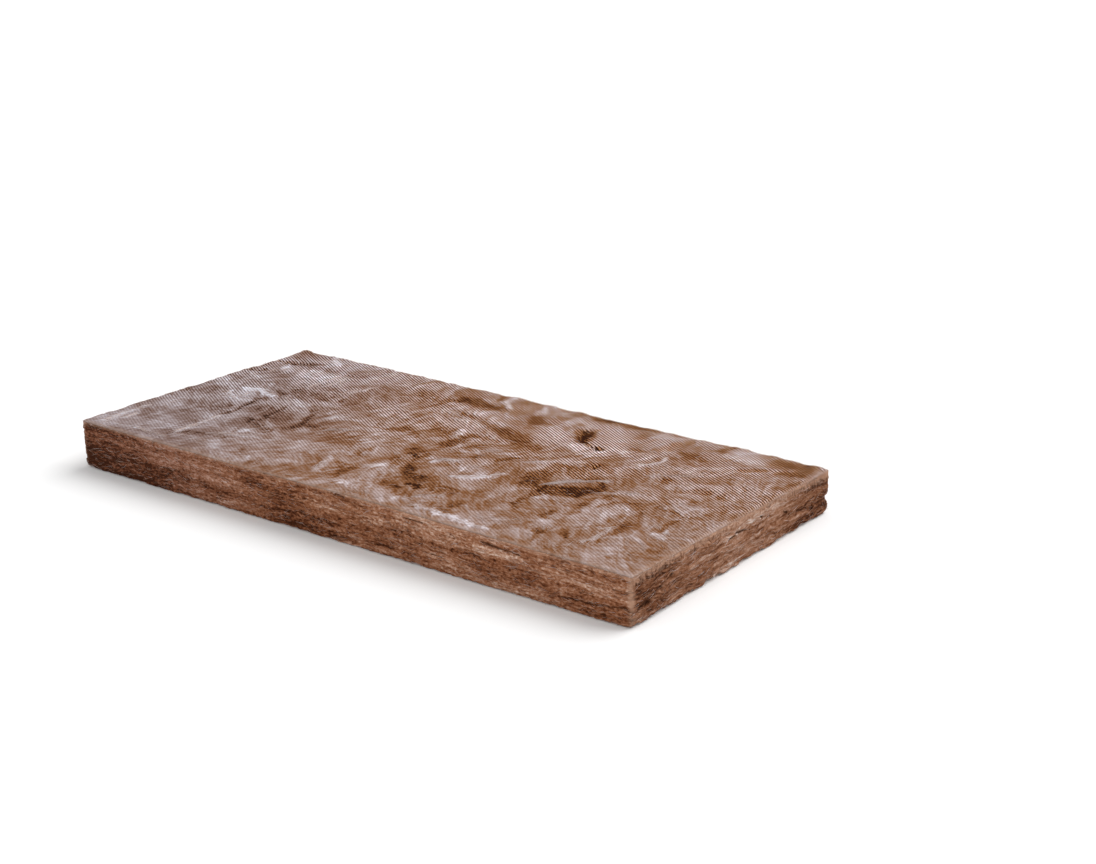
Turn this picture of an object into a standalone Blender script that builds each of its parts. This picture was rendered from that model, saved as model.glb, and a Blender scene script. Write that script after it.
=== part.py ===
"""A glass wool insulation batt: one soft slab, cut to size, lying flat on a level floor.

Metres, +Z up. The origin is the middle of the underside. +X runs along the length, and the long cut
face at -Y is the front. The stated length and width are those of the saws and the cutting knife: the
uneven cut faces lie on them or a little inside them. The top face swells and dips about a mean
thickness, because the wool recovers unevenly when its pack is opened. The underside lies flat.
"""
import math

import bmesh
import bpy
from mathutils import Matrix, Vector

# Outer sizes of the slab
LENGTH = 1.250
WIDTH = 0.600
THICKNESS = 0.086

# How much thicker than the mean the slab is at its left end and at its front, and how much thinner
# at the opposite end and side
LEFT_RISE = 0.0023
FRONT_RISE = 0.0041

# The swells of the top face: half their height, and their length along the slab
TOP_SWELL = 0.0016
TOP_SWELL_LENGTH = 0.43

# The long faces are sawn: shallow waves, with their depth and their length
SIDE_WAVE = 0.0014
SIDE_WAVE_LENGTH = 0.36

# The ends are chopped by a knife, which drags the wool: deeper and shorter waves
END_WAVE = 0.0036
END_WAVE_LENGTH = 0.19

# How far the middle of a cut face stands out past its upper and lower edges
CUT_BULGE = 0.0014

# Radii of the rounded arrises. The lower ones are torn where the blade leaves the wool, so they
# widen and narrow along their length by the stated share
TOP_ROUND = 0.0060
SIDE_LOWER_ROUND = 0.0040
END_LOWER_ROUND = 0.0075
UPRIGHT_ROUND = 0.0070
TORN_SHARE = 0.45
TORN_WAVE_LENGTH = 0.13
ROUND_SEGMENTS = 3

# Largest distance between the cuts that let the faces bend, along the faces and up the sides
CUT_PITCH = 0.040
LAYER_PITCH = 0.018

# The three swells that make a face uneven, each as turns along, turns across, and phase in radians
SWELLS = ((1.00, 0.00, 0.7), (0.62, 0.41, 2.1), (0.37, -0.83, 4.0))

# Where each face starts in the waves, in metres along them, so that no two faces are alike
TOP_START = 0.00
FRONT_START = 0.11
BACK_START = 0.47
LEFT_START = 0.83
RIGHT_START = 1.19

# Two points nearer than this are in one plane of the plain block
SAME_PLACE = 1e-5

# Colour of the wool, halfway between the pale top and the darker cut faces
WOOL_COLOUR = (0.345, 0.225, 0.165, 1.0)
WOOL_ROUGHNESS = 0.95


def clear_objects():
    """Removes whatever is in the scene."""
    for thing in list(bpy.data.objects):
        bpy.data.objects.remove(thing, do_unlink=True)


def unevenness(along, across, swell_length):
    """A smooth wave without a plain repeat, between -1 and 1."""
    turn = 2.0 * math.pi / swell_length
    total = 0.0
    for turns_along, turns_across, phase in SWELLS:
        total += math.sin(turn * (turns_along * along + turns_across * across) + phase)
    return total / len(SWELLS)


def cut_positions(low, high, pitch):
    """Even positions between two ends, no further apart than the pitch."""
    count = max(2, math.ceil((high - low) / pitch))
    return [low + (high - low) * step / count for step in range(1, count)]


def plain_block(shape):
    """The square-edged slab, cut into a grid that later bends."""
    size = Matrix.Diagonal((LENGTH, WIDTH, THICKNESS, 1.0))
    lift = Matrix.Translation((0.0, 0.0, THICKNESS / 2.0))
    bmesh.ops.create_cube(shape, size=1.0, matrix=lift @ size)
    cuts = (
        (Vector((1.0, 0.0, 0.0)), cut_positions(-LENGTH / 2.0, LENGTH / 2.0, CUT_PITCH)),
        (Vector((0.0, 1.0, 0.0)), cut_positions(-WIDTH / 2.0, WIDTH / 2.0, CUT_PITCH)),
        (Vector((0.0, 0.0, 1.0)), cut_positions(0.0, THICKNESS, LAYER_PITCH)),
    )
    for normal, positions in cuts:
        for position in positions:
            everything = shape.verts[:] + shape.edges[:] + shape.faces[:]
            bmesh.ops.bisect_plane(
                shape, geom=everything, dist=SAME_PLACE, plane_co=normal * position, plane_no=normal
            )


def sides_of(point):
    """The names of the plain block's faces that a point lies on."""
    distances = {
        "left": point.x + LENGTH / 2.0,
        "right": LENGTH / 2.0 - point.x,
        "front": point.y + WIDTH / 2.0,
        "back": WIDTH / 2.0 - point.y,
        "under": point.z,
        "top": THICKNESS - point.z,
    }
    return {name for name, distance in distances.items() if abs(distance) < SAME_PLACE}


def arris_radius(sides, place):
    """The radius, at one place, of the arris between two faces of the block."""
    if "top" in sides:
        return TOP_ROUND
    if "under" not in sides:
        return UPRIGHT_ROUND
    torn = 1.0 + TORN_SHARE * unevenness(place.x + place.y, 0.0, TORN_WAVE_LENGTH)
    return torn * (END_LOWER_ROUND if sides & {"left", "right"} else SIDE_LOWER_ROUND)


def mark_arrises(shape, widest):
    """Gives each stretch of an arris its radius, as a share of the widest one."""
    weights = shape.edges.layers.float.new("bevel_weight_edge")
    for edge in shape.edges:
        start, end = (vertex.co for vertex in edge.verts)
        shared = sides_of(start) & sides_of(end)
        if len(shared) == 2:
            edge[weights] = arris_radius(shared, (start + end) / 2.0) / widest


def cut_inset(along, height, start, depth, wave_length):
    """How far a cut face lies inside its straight plane at one point of it."""
    wave = (1.0 - unevenness(start + along, height, wave_length)) / 2.0
    middle = 2.0 * height / THICKNESS - 1.0
    return depth * wave + CUT_BULGE * middle * middle


def top_height(x, y):
    """The height of the top face above the underside at one place."""
    lean = -LEFT_RISE * x / (LENGTH / 2.0) - FRONT_RISE * y / (WIDTH / 2.0)
    return THICKNESS + lean + TOP_SWELL * unevenness(TOP_START + x, y, TOP_SWELL_LENGTH)


def bent(point, sides):
    """Where a point of the plain block lies on the real slab."""
    x, y, z = point
    if "left" in sides:
        x += cut_inset(point.y, z, LEFT_START, END_WAVE, END_WAVE_LENGTH)
    if "right" in sides:
        x -= cut_inset(point.y, z, RIGHT_START, END_WAVE, END_WAVE_LENGTH)
    if "front" in sides:
        y += cut_inset(point.x, z, FRONT_START, SIDE_WAVE, SIDE_WAVE_LENGTH)
    if "back" in sides:
        y -= cut_inset(point.x, z, BACK_START, SIDE_WAVE, SIDE_WAVE_LENGTH)
    z *= top_height(point.x, point.y) / THICKNESS
    return Vector((x, y, z))


def centre_on_origin(shape):
    """Moves the slab so that the middle of its underside is at the origin."""
    for axis in range(2):
        places = [vertex.co[axis] for vertex in shape.verts]
        middle = (min(places) + max(places)) / 2.0
        for vertex in shape.verts:
            vertex.co[axis] -= middle


def wool_material():
    """Matte brown glass wool."""
    wool = bpy.data.materials.new("glass_wool")
    wool.use_nodes = True
    shader = wool.node_tree.nodes["Principled BSDF"]
    shader.inputs["Base Color"].default_value = WOOL_COLOUR
    shader.inputs["Roughness"].default_value = WOOL_ROUGHNESS
    shader.inputs["Metallic"].default_value = 0.0
    wool.diffuse_color = WOOL_COLOUR
    return wool


def make_batt(collection):
    """The slab, with its uneven faces and its rounded arrises."""
    lower_rounds = max(SIDE_LOWER_ROUND, END_LOWER_ROUND)
    widest = max(TOP_ROUND, UPRIGHT_ROUND, lower_rounds * (1.0 + TORN_SHARE))
    shape = bmesh.new()
    plain_block(shape)
    mark_arrises(shape, widest)
    places = [bent(vertex.co, sides_of(vertex.co)) for vertex in shape.verts]
    for vertex, place in zip(shape.verts, places):
        vertex.co = place
    centre_on_origin(shape)
    mesh = bpy.data.meshes.new("batt")
    shape.to_mesh(mesh)
    shape.free()
    mesh.shade_smooth()
    mesh.materials.append(wool_material())

    batt = bpy.data.objects.new("batt", mesh)
    collection.objects.link(batt)
    rounding = batt.modifiers.new("rounded arrises", "BEVEL")
    rounding.limit_method = "WEIGHT"
    rounding.offset_type = "OFFSET"
    rounding.width = widest
    rounding.segments = ROUND_SEGMENTS
    return batt


def main():
    clear_objects()
    collection = bpy.data.collections.new("glass wool batt")
    bpy.context.scene.collection.children.link(collection)
    make_batt(collection)


main()
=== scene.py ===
"""The looks of a glass wool insulation batt: its belt-marked faces, its layered cut faces, its loose
fibres and its marbled browns.

Metres, +Z up, in the frame of the solid: the origin is the middle of the underside, +X runs along
the length, and the long cut face at -Y is the front.
"""
import math
import random

import bpy
import numpy as np
from mathutils import Matrix, Quaternion, Vector, noise
from mathutils.bvhtree import BVHTree


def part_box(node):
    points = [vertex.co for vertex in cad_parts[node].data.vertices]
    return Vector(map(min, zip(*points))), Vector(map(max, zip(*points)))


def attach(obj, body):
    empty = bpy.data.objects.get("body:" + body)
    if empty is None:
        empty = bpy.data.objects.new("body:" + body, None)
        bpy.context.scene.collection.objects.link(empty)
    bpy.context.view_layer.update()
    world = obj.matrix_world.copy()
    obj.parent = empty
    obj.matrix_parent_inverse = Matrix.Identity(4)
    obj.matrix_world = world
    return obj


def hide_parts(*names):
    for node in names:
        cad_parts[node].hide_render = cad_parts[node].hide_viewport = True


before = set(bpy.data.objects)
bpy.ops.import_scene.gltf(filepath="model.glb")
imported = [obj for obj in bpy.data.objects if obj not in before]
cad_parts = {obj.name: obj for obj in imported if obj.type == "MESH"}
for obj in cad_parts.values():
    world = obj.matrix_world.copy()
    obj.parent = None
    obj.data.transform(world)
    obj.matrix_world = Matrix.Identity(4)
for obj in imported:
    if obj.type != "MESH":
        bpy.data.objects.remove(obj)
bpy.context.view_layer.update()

# The camera, where the photograph was taken from: its place, how far it turns left of +Y, how far it
# looks down and its roll, in degrees, and its lens in millimetres on a 36 mm wide sensor
CAMERA_PLACE = (2.0943, -2.4311, 1.2042)
CAMERA_TURN = 37.318
CAMERA_DOWN = 18.940
CAMERA_ROLL = -0.689
CAMERA_LENS = 62.14
SENSOR_WIDTH = 36.0

# The light: a soft lamp high up behind the slab's right end, a weaker and softer one in front, and a
# pale room that is brightest at the horizon. Each lamp has the direction it shines from and its
# height, both in degrees, its spread in degrees, and its strength
LAMPS = {"lamp": (62.0, 48.0, 56.0, 2.40), "front_lamp": (-70.0, 28.0, 70.0, 0.72)}
ROOM_STRENGTH = 0.58
HORIZON_STRENGTH = 1.0
# Where the room fades between the two, as sines of the height above the horizon
HORIZON_FADE = (0.06, 0.16)
FLOOR_COLOUR = (0.90, 0.90, 0.90, 1.0)
FLOOR_REACH = 60.0

# How rough the wool, its loose fibres and the floor are, and how much they shine
WOOL_FINISH = (0.95, 0.05)
FIBRE_FINISH = (0.60, 0.40)
FLOOR_FINISH = (0.90, 0.50)

# The slab's size, from the frame
SLAB_LOW, SLAB_HIGH = (Vector(corner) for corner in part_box("batt"))
HALF_LENGTH = (SLAB_HIGH.x - SLAB_LOW.x) / 2.0
HALF_WIDTH = (SLAB_HIGH.y - SLAB_LOW.y) / 2.0
TALLEST = SLAB_HIGH.z

# The belt that carries the wool through its oven has rows of small holes, set as a honeycomb: they
# print nubs this far apart, and this high above the hollows between them
BELT_PITCH = 0.00664
NUB_HEIGHT = 0.0005
# The nubs join into ribs across the direction they are dragged in: the share of each of the
# honeycomb's three waves, by the angle in degrees that it runs in
BELT_WAVES = ((60.0, 0.76), (0.0, 0.10), (120.0, 0.14))

# The slab's mesh: a honeycomb grid on top, rows down the cut faces, and rings that turn under it
COLUMN_PITCH = BELT_PITCH / math.sqrt(3.0)
ROW_PITCH = BELT_PITCH / 2.0
CUT_ROWS = 36
UNDER_INSETS = (0.004, 0.008, 0.014)
EDGE_ZONE = 0.016

# How much a rib of the belt's print changes the red, green and blue of the wool, by what they are
# multiplied halfway up a rib, and by what in the deepest hollow. The swing is partly the print's own
# colour and partly painted light on the ribs and painted shade in the hollows, shading their relief
RIB_PRINT_AND_SHADE_SWING = (0.60, 0.68, 0.72)
RIB_PRINT_AND_SHADE_MIDDLE = (0.86, 0.875, 0.905)
RIB_PRINT_AND_SHADE_DARKEST = (0.14, 0.11, 0.09)

# The colours of the wool, by tone: of the belt faces where they are warm and where they are greyed,
# of the cut faces, and of the loose fibres
WARM_BROWNS = (
    (0.00, (0.040, 0.010, 0.002)),
    (0.17, (0.156, 0.055, 0.017)),
    (0.34, (0.228, 0.096, 0.040)),
    (0.50, (0.296, 0.173, 0.119)),
    (0.66, (0.380, 0.266, 0.228)),
    (0.84, (0.510, 0.404, 0.384)),
    (1.00, (0.700, 0.620, 0.630)),
)
GREY_BROWNS = (
    (0.00, (0.045, 0.020, 0.012)),
    (0.17, (0.120, 0.062, 0.044)),
    (0.34, (0.190, 0.118, 0.096)),
    (0.50, (0.272, 0.200, 0.184)),
    (0.66, (0.360, 0.292, 0.286)),
    (0.84, (0.490, 0.436, 0.450)),
    (1.00, (0.690, 0.660, 0.700)),
)
CUT_BROWNS = (
    (0.00, (0.050, 0.014, 0.005)),
    (0.20, (0.145, 0.048, 0.020)),
    (0.42, (0.245, 0.098, 0.048)),
    (0.60, (0.335, 0.160, 0.093)),
    (0.80, (0.460, 0.268, 0.186)),
    (1.00, (0.660, 0.490, 0.400)),
)
FIBRE_BROWNS = (
    (0.00, (0.170, 0.080, 0.045)),
    (0.40, (0.380, 0.230, 0.165)),
    (0.75, (0.560, 0.430, 0.390)),
    (1.00, (0.760, 0.700, 0.710)),
)
# The tan of the belt faces' worn edges and of the cut faces' lips, and painted shade inside splits
WORN_COLOUR = (0.480, 0.330, 0.255, 1.0)
LIP_COLOUR = (0.480, 0.290, 0.200, 1.0)
SPLIT_SHADE_COLOUR = (0.036, 0.012, 0.005, 1.0)
# By what the colour of a cut face is multiplied at the ends, and where it is greyed
END_TINT = (0.92, 1.03, 1.14)
GREY_TINT = (0.93, 0.97, 1.14)

# The wool's arrises are crisper than the solid's rounded ones: how far from an arris they are drawn
# out, and by what share
ARRIS_ZONE = 0.009
ARRIS_CRISPNESS = 0.35
UPRIGHT_CRISPNESS = 0.0

# The lower edges are torn: how far they lift off the floor, at the sawn sides and at the ends
SIDE_LIFT = 0.0026
END_LIFT = 0.0075
LIFT_ZONE = 0.017

# Marks on the top face, as seen from above. Each has its half width, its strength, and the points
# of the line it follows, from the left end and from the front edge. The half widths and the points of
# all marks and patches are in millimetres
BROWN_MARKS = (
    # The back left corner, with its crease and the ring of a knot
    (24, 0.3, (30, 578), (75, 578)), (7, 1, (0, 505), (50, 512), (75, 525), (105, 536)),
    (10, 0.5, (30, 515), (90, 522)), (8, 0.5, (105, 515), (140, 512)),
    (11, 0.7, (147, 508), (168, 510)), (4.5, 1, (33, 450), (39, 437), (28, 423)),
    (5, 0.75, (4, 432), (14, 427)), (4, 0.8, (204, 516), (219, 504)), (16, 0.3, (10, 260), (12, 220)),
    # The hollow near the left end, and the folds around it
    (30, 0.36, (130, 225), (160, 195)), (34, 0.34, (225, 255), (290, 225)),
    (5.5, 0.95, (167, 295), (176, 255), (186, 215), (184, 170)),
    (5, 0.65, (250, 283), (258, 240), (268, 202)),
    (6, 0.8, (238, 196), (266, 184), (300, 171), (328, 164)),
    (6.5, 0.8, (302, 300), (325, 275), (338, 248), (347, 212), (338, 186)),
    (20, 0.5, (205, 376), (275, 366)), (10, 0.65, (163, 343), (186, 339)),
    (15, 0.4, (225, 343), (300, 318)), (13, 0.36, (332, 402), (336, 372)),
    (4.5, 0.6, (307, 396), (314, 361)),
    # The front left
    (6, 0.5, (180, 50), (245, 83), (302, 101)), (4, 0.5, (265, 150), (278, 120)),
    (5, 0.45, (365, 250), (378, 274), (394, 292)), (10, 0.45, (355, 236), (388, 233)),
    (16, 0.32, (405, 88), (440, 70)), (10, 0.38, (365, 52), (385, 50)),
    # The back edge, from the left
    (14, 0.42, (360, 519), (440, 509)), (5, 0.5, (402, 503), (448, 478)),
    (12, 0.95, (488, 531), (487, 514)), (7, 0.85, (545, 600), (546, 552)),
    (19, 0.75, (510, 530), (575, 514)), (26, 0.75, (612, 592), (622, 528)),
    (6, 0.8, (596, 508), (601, 498)), (8, 0.8, (662, 600), (678, 586), (695, 580)),
    (24, 0.34, (725, 590), (760, 590)), (17, 0.8, (775, 590), (890, 584)),
    (14, 0.6, (710, 545), (714, 515)), (19, 0.55, (676, 522), (684, 500)),
    (13, 0.5, (890, 552), (893, 520)), (14, 0.85, (976, 572), (966, 540), (960, 512)),
    (14, 0.65, (1008, 512), (1050, 503)), (13, 0.55, (1054, 592), (1056, 560)),
    (26, 0.75, (1172, 572), (1215, 572)), (9, 0.85, (1222, 538), (1170, 526), (1132, 494)),
    (10, 0.5, (1238, 508), (1236, 498)),
    # The middle of the back half
    (14, 0.45, (468, 500), (476, 462)), (6, 0.55, (545, 457), (600, 440), (650, 425)),
    (20, 0.55, (650, 432), (700, 405), (765, 376)), (12, 0.55, (722, 424), (742, 410)),
    (8, 0.65, (655, 366), (698, 366)), (18, 0.38, (525, 373), (595, 362)),
    (15, 0.65, (646, 362), (638, 296)), (4, 0.5, (434, 391), (460, 366)),
    (7, 0.4, (458, 330), (466, 303), (500, 305), (512, 335)),
    (5, 0.6, (668, 300), (682, 330), (700, 345)), (6, 0.6, (718, 275), (728, 305)),
    (7, 0.6, (762, 285), (782, 320)), (6, 0.5, (505, 335), (560, 300)),
    (8, 0.35, (898, 476), (960, 488)),
    # The gash and the dark spot in front of it
    (17, 1.15, (786, 512), (800, 492), (812, 472)), (7, 1.1, (803, 528), (807, 495)),
    (6, 1.15, (812, 468), (836, 456), (866, 446)), (18, 0.5, (905, 366), (945, 356)),
    (6, 0.85, (912, 370), (920, 360)), (26, 0.7, (868, 325), (940, 318)),
    # The warm patch in the right half
    (24, 0.95, (918, 228), (968, 246)), (22, 0.75, (862, 282), (876, 232)),
    (12, 0.85, (984, 300), (992, 262)), (15, 0.6, (905, 215), (918, 196)),
    (8, 0.65, (912, 192), (914, 146), (928, 122)), (10, 0.5, (1012, 282), (1028, 242)),
    (8, 0.55, (1008, 228), (1016, 148)), (6, 0.65, (986, 146), (987, 122)),
    # Right of it
    (5, 0.45, (1036, 200), (1050, 240), (1080, 252), (1112, 226)),
    (5, 0.75, (1118, 262), (1150, 258), (1184, 252)), (15, 0.5, (1120, 170), (1122, 85)),
    (6, 0.55, (1172, 224), (1178, 182)), (10, 0.55, (1108, 352), (1148, 372)),
    (8, 0.55, (1172, 372), (1180, 358)), (4, 0.75, (1177, 424), (1185, 408)),
    (22, 0.4, (1172, 320), (1205, 318)), (14, 0.35, (1048, 388), (1056, 370)),
    (12, 0.35, (1216, 95), (1222, 65)), (6, 0.6, (1052, 96), (1080, 74)),
    (8, 0.55, (1002, 64), (1032, 60)), (3.5, 0.5, (1055, 112), (1092, 142)),
    (4, 0.55, (986, 86), (994, 76)),
    # The front right
    (22, 0.6, (690, 136), (772, 118)), (6, 0.9, (722, 108), (744, 104)),
    (15, 0.62, (685, 85), (735, 66)), (6, 0.5, (798, 126), (808, 114)),
    (18, 0.62, (622, 186), (668, 164)), (20, 0.55, (615, 240), (635, 225)),
    (5, 0.95, (626, 226), (650, 195)), (9, 0.5, (716, 230), (720, 218)),
    (7, 0.55, (552, 122), (576, 86), (600, 62)), (10, 0.5, (590, 112), (592, 90)),
    (9, 0.45, (536, 178), (548, 164)), (8, 0.4, (543, 206), (546, 192)),
    (40, 0.26, (460, 225), (495, 200)), (4, 0.45, (800, 56), (862, 34)),
    (12, 0.32, (480, 40), (580, 30)), (7, 0.4, (838, 88), (842, 68)),
)
PALE_MARKS = (
    # The tuft at the back left, and the smear in front of it
    (9, 1, (86, 600), (106, 574), (136, 550)), (30, 0.42, (80, 474), (185, 470)),
    (14, 0.5, (58, 490), (75, 462)), (4, 0.55, (214, 492), (226, 456), (219, 430)),
    (4, 0.55, (306, 480), (301, 450), (284, 424)), (6, 0.45, (196, 500), (198, 400)),
    (20, 0.4, (20, 400), (55, 392)), (16, 0.45, (20, 345), (48, 318)),
    # The white patch in front, with its hook
    (15, 0.9, (110, 326), (150, 334), (178, 322)), (12, 0.45, (190, 322), (275, 312)),
    (4.5, 1, (88, 296), (106, 276), (124, 268), (136, 284), (131, 302)),
    (12, 0.6, (132, 262), (160, 268)),
    # The seam, the streaks beside it and the front left edge
    (4.5, 0.9, (191, 168), (194, 110), (195, 60)), (6, 0.8, (34, 135), (36, 80), (38, 24)),
    (4, 0.7, (55, 92), (58, 62)), (12, 0.6, (10, 40), (40, 18), (120, 22)),
    (6, 0.55, (120, 30), (200, 26)), (12, 0.35, (210, 50), (340, 45)),
    (8, 0.7, (288, 136), (296, 149), (306, 144)), (5, 0.55, (246, 86), (275, 103), (330, 126)),
    (14, 0.4, (40, 190), (46, 150)),
    # The middle of the front half
    (22, 0.5, (358, 306), (378, 292)), (8, 0.45, (355, 270), (365, 300)),
    (6, 0.45, (398, 205), (412, 240), (446, 258)),
    (10, 0.8, (518, 122), (530, 104), (534, 82), (542, 60)), (22, 0.5, (614, 130), (622, 50)),
    (9, 0.45, (622, 150), (612, 130)), (12, 0.45, (500, 236), (520, 222)),
    # The back half, from the left
    (16, 0.45, (355, 582), (366, 556)), (10, 0.45, (478, 592), (512, 588)),
    (6, 0.9, (566, 600), (570, 560), (594, 534)), (16, 0.48, (500, 486), (560, 470)),
    (9, 0.48, (565, 476), (640, 455)), (24, 0.36, (430, 424), (470, 412)),
    (8, 0.75, (522, 447), (540, 443)), (10, 0.6, (552, 420), (580, 425)),
    (9, 0.6, (612, 420), (620, 410)), (11, 0.85, (608, 374), (616, 358)),
    (6, 0.55, (618, 347), (624, 340)), (13, 0.5, (658, 350), (662, 310), (676, 290)),
    (20, 0.52, (700, 300), (745, 330)), (10, 0.5, (654, 580), (660, 550)),
    (10, 0.7, (776, 520), (782, 528)), (16, 0.45, (745, 570), (740, 520)),
    (24, 0.52, (740, 478), (800, 440), (880, 422)), (14, 0.55, (905, 560), (925, 566)),
    (14, 0.45, (915, 458), (965, 470)), (26, 0.48, (1096, 585), (1110, 540)),
    (4.5, 1, (992, 478), (996, 452), (990, 432), (977, 421)), (20, 0.4, (1010, 455), (1060, 440)),
    (6, 0.4, (1020, 380), (1090, 430)), (22, 0.4, (1160, 452), (1225, 440)),
    (7, 0.6, (802, 300), (824, 322), (842, 342)),
    # The streaks in the warm patch, and the swoosh left of it
    (3.5, 1, (897, 238), (912, 258), (942, 288), (976, 319)), (6, 0.45, (905, 262), (935, 296)),
    (7, 0.8, (812, 240), (804, 215), (786, 192), (750, 174)), (14, 0.5, (800, 205), (762, 178)),
    (18, 0.5, (745, 222), (782, 226)), (6, 0.95, (677, 212), (684, 232), (706, 240)),
    (6, 0.45, (992, 252), (1030, 282), (1048, 290)), (20, 0.38, (940, 178), (985, 168)),
    # The right end
    (18, 0.45, (1068, 225), (1072, 180)), (16, 0.42, (1130, 302), (1165, 295)),
    (14, 0.42, (1140, 205), (1160, 195)), (3.5, 1, (1186, 186), (1191, 176)),
    (10, 0.75, (1180, 158), (1196, 152)), (36, 0.42, (1160, 110), (1200, 60)),
    (18, 0.6, (1010, 96), (1030, 88)), (5, 0.6, (1110, 150), (1112, 100), (1106, 70)),
    # The front edge
    (8, 0.9, (790, 30), (860, 26), (955, 18)), (10, 0.45, (750, 40), (800, 50)),
    (20, 0.36, (480, 26), (640, 30), (740, 26)), (10, 0.35, (900, 70), (1000, 40), (1150, 20)),
    (7, 0.55, (768, 62), (800, 92)),
)
# The spots that are torn open, with painted shade inside them, and the greyed part of the face
TORN_MARKS = (
    (4, 1, (846, 450), (862, 447), (873, 445)), (3.4, 0.9, (862, 447), (865, 436)),
    (3, 0.55, (796, 506), (806, 480), (824, 462)), (1.7, 0.75, (788, 514), (776, 521)),
    (1.7, 0.7, (799, 512), (784, 521)), (1.7, 0.85, (800, 503), (783, 513)),
    (1.7, 0.75, (806, 493), (788, 503)), (1.7, 0.85, (812, 482), (794, 492)),
    (1.7, 0.75, (818, 471), (801, 481)), (1.7, 0.85, (829, 460), (810, 471)),
    (3.4, 0.8, (912, 369), (919, 361)), (2.8, 0.55, (1081, 446), (1086, 442)),
    (3.6, 0.75, (0, 506), (10, 503)), (3, 0.55, (478, 512), (492, 508)), (3, 0.5, (50, 518), (78, 528)),
)
GREY_CENTRE = (0.07, 0.07)
GREY_REACH = (0.52, 1.05)

# How far the marks' edges wander, with soft and with small waves
WANDER = 0.006
SMALL_WANDER = 0.004

# The way the marks are combed out in, in degrees from the length, and how far
COMBED_WAY = 68.0
COMBED_REACH = 0.011

# How much the marks lift and sink the face, how deep the torn spots go, and the heights of the soft
# lumps of the top, of the rolls along its edges and of its sunken seams
MARK_RELIEF = 0.0011
TORN_DEPTH = 0.0042
LUMP_HEIGHT = 0.0013
ROLL_HEIGHT = 0.0028
ROLL_ZONE = 0.026
SEAM_DEPTH = 0.0008

# The relief of the cut faces: their thick and thin layers and the crevices between them, the curls
# along the upper edges of the ends and the bulges of the ends, and the fraying of every arris
LAYER_HEIGHT = 0.0013
THIN_LAYER_HEIGHT = 0.0008
CREVICE_DEPTH = 0.0011
END_CREVICE_DEPTH = 0.0019
CURL_HEIGHT = 0.0009
CURL_ZONE = 0.022
END_BULGE = 0.0020
FRAY_HEIGHT = 0.0009

# Seams that cross the face, from the left end, with their strength
SEAMS = ((0.193, 0.90), (0.346, 0.35), (0.667, 0.40), (0.985, 0.30), (0.038, 0.35))

# Splits between the layers of a cut face: half height, depth, and the line they follow, from the
# face's left or near end and from the floor, all in metres
FRONT_SPLITS = (
    (0.0022, 0.0040, (0.222, 0.044), (0.229, 0.042), (0.236, 0.040)),
    (0.0020, 0.0036, (0.958, 0.074), (0.985, 0.071), (1.010, 0.071), (1.044, 0.069)),
    (0.0018, 0.0034, (1.110, 0.019), (1.150, 0.022), (1.190, 0.026), (1.235, 0.031)),
    (0.0022, 0.0036, (0.640, 0.086), (0.662, 0.083)),
    (0.0015, 0.0026, (0.795, 0.079), (0.815, 0.077), (0.838, 0.076)),
    (0.0012, 0.0022, (0.840, 0.028), (0.875, 0.026)),
    (0.0012, 0.0020, (0.930, 0.050), (0.950, 0.049)),
    (0.0012, 0.0022, (0.330, 0.066), (0.352, 0.064)),
)
RIGHT_SPLITS = (
    (0.0028, 0.0062, (0.012, 0.026), (0.034, 0.032), (0.046, 0.031), (0.068, 0.042), (0.082, 0.042),
     (0.112, 0.052)),
    (0.0018, 0.0036, (0.040, 0.024), (0.060, 0.026)),
    (0.0022, 0.0042, (0.275, 0.054), (0.300, 0.058), (0.325, 0.056)),
    (0.0026, 0.0048, (0.378, 0.062), (0.386, 0.060)),
    (0.0024, 0.0044, (0.452, 0.047), (0.464, 0.044)),
    (0.0018, 0.0034, (0.492, 0.036), (0.520, 0.032)),
    (0.0016, 0.0030, (0.180, 0.020), (0.205, 0.023)),
)
# The other cut faces have splits of the same kind, this many each, placed at random
BACK_SPLIT_COUNT = 14
LEFT_SPLIT_COUNT = 11
SPLIT_SEED = 12

# How the cut faces darken along their length: places from the left or near end, and tones
FRONT_TONES = ((0.0, -0.66), (0.25, -0.15), (0.55, -0.17), (0.88, 0.04), (1.25, -0.03))
RIGHT_TONES = ((0.0, -0.34), (0.12, -0.22), (0.28, 0.02), (0.42, -0.04), (0.60, -0.54))
REST_TONES = ((0.0, -0.20), (0.30, -0.06), (0.60, -0.16), (1.25, -0.10))

# Paler and darker patches of the two cut faces in front, as the top's marks are given: half width,
# strength, and the line, from the left or near end and from the floor
FRONT_PATCHES = (
    (10, 0.2, (190, 58), (245, 56)), (7, 0.22, (290, 33), (315, 31)),
    (11, 0.16, (275, 60), (330, 56), (420, 50)), (9, 0.16, (310, 12), (470, 16)),
    (14, -0.18, (430, 60), (540, 52)), (10, -0.16, (530, 12), (640, 10)),
    (15, 0.16, (590, 64), (660, 56), (740, 56)), (6, -0.16, (560, 82), (760, 79)),
    (10, 0.14, (830, 30), (930, 36)), (8, 0.3, (945, 60), (990, 63), (1045, 60)),
    (5, -0.24, (900, 46), (980, 46)), (12, 0.14, (1080, 58), (1200, 60)),
    (14, -0.26, (1090, 12), (1160, 14), (1240, 18)), (5, -0.26, (1130, 30), (1235, 36)),
    (5, -0.2, (700, 18), (850, 16)),
)
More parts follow.
